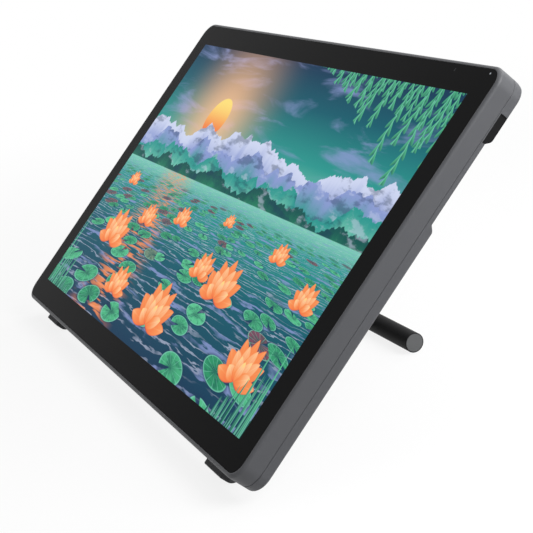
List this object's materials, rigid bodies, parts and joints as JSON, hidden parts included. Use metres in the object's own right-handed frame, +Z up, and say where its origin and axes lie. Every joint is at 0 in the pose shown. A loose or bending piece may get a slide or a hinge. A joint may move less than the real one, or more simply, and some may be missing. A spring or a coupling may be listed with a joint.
{
  "type": "graphics tablet with screen",
  "caption": "Pen display with a flat glass front in a rounded grey housing, rubber feet and a hinged leg whose round foot bar holds it tilted on a desk.",
  "frame": {"origin": "middle of the part's footprint, on the desk", "axes": "+X to the right along the screen's long side, +Y away from the user, +Z up"},
  "size_m": [0.526, 0.2408, 0.2355],
  "materials": {
    "housing_grey": "fine matt texture",
    "cover_glass": "etched low-glare",
    "lcd_cell": "smooth",
    "optical_film": "milky",
    "light_guide": "clear",
    "led_strip": "white solder mask",
    "sheet_metal": "rolled",
    "circuit_board": "solder mask",
    "connector_metal": "plated",
    "connector_black": "moulded",
    "ribbon": "polyimide film",
    "key_plastic": "satin",
    "light_pipe": "clear",
    "screw_steel": "black zinc",
    "insert_brass": "turned",
    "foot_rubber": "matt",
    "stand_paint": "fine powder coat",
    "stand_alloy": "powder coat",
    "shaft_steel": "ground",
    "rod_rubber": "smooth",
    "cap_grey": "satin"
  },
  "bodies": {
    "head": {"front_frame": "housing_grey", "cover_glass": "cover_glass", "lcd_panel": "lcd_cell", "diffuser_sheet": "optical_film", "light_guide": "light_guide", "led_strip": "led_strip", "lcd_tray": "sheet_metal", "sensor_board": "circuit_board", "chassis_plate": "sheet_metal", "main_board": "circuit_board", "board_screws": "screw_steel", "port_board": "circuit_board", "usb_ports": "connector_metal", "video_port": "connector_metal", "power_jack": "connector_black", "board_ribbon": "ribbon", "button_board": "circuit_board", "key_switches": "connector_metal", "status_light_pipe": "light_pipe", "back_cover": "housing_grey", "cover_screws": "screw_steel", "mount_inserts": "insert_brass", "rubber_feet": "foot_rubber", "upper_pads": "foot_rubber", "stand_plate": "stand_paint", "stand_screws": "screw_steel", "hinge_washers": "shaft_steel", "clutch_housing": "stand_paint", "clutch_spring": "shaft_steel"},
    "leg": {"stand_leg": "stand_alloy", "foot_rod": "shaft_steel", "rod_sleeves": "rod_rubber", "rod_caps": "cap_grey", "hinge_shaft": "shaft_steel", "hinge_nut": "shaft_steel"},
    "lever": {"release_lever": "key_plastic"},
    "power_key": {"power_button": "key_plastic"},
    "brightness_up_key": {"brightness_up_button": "key_plastic"},
    "brightness_down_key": {"brightness_down_button": "key_plastic"}
  },
  "joints": [
    {"name": "leg_hinge", "type": "hinge", "parent": "head", "child": "leg", "pos_m": [0, -0.04526, 0.04629], "axis": [1, 0, 0], "range_deg": [-51, 57]},
    {"name": "lever_hinge", "type": "hinge", "parent": "head", "child": "lever", "pos_m": [0, -0.04526, 0.04629], "axis": [1, 0, 0], "range_deg": [0, 8], "stiffness_Nm_per_rad": 0.2, "springref_deg": -5.73},
    {"name": "power_press", "type": "slide", "parent": "head", "child": "power_key", "axis": [0, -0.7314, -0.682], "range_m": [0, 0.0008], "stiffness_N_per_m": 1500, "springref_m": -0.0004},
    {"name": "brightness_up_press", "type": "slide", "parent": "head", "child": "brightness_up_key", "axis": [0, -0.7314, -0.682], "range_m": [0, 0.0008], "stiffness_N_per_m": 1500, "springref_m": -0.0004},
    {"name": "brightness_down_press", "type": "slide", "parent": "head", "child": "brightness_down_key", "axis": [0, -0.7314, -0.682], "range_m": [0, 0.0008], "stiffness_N_per_m": 1500, "springref_m": -0.0004}
  ]
}
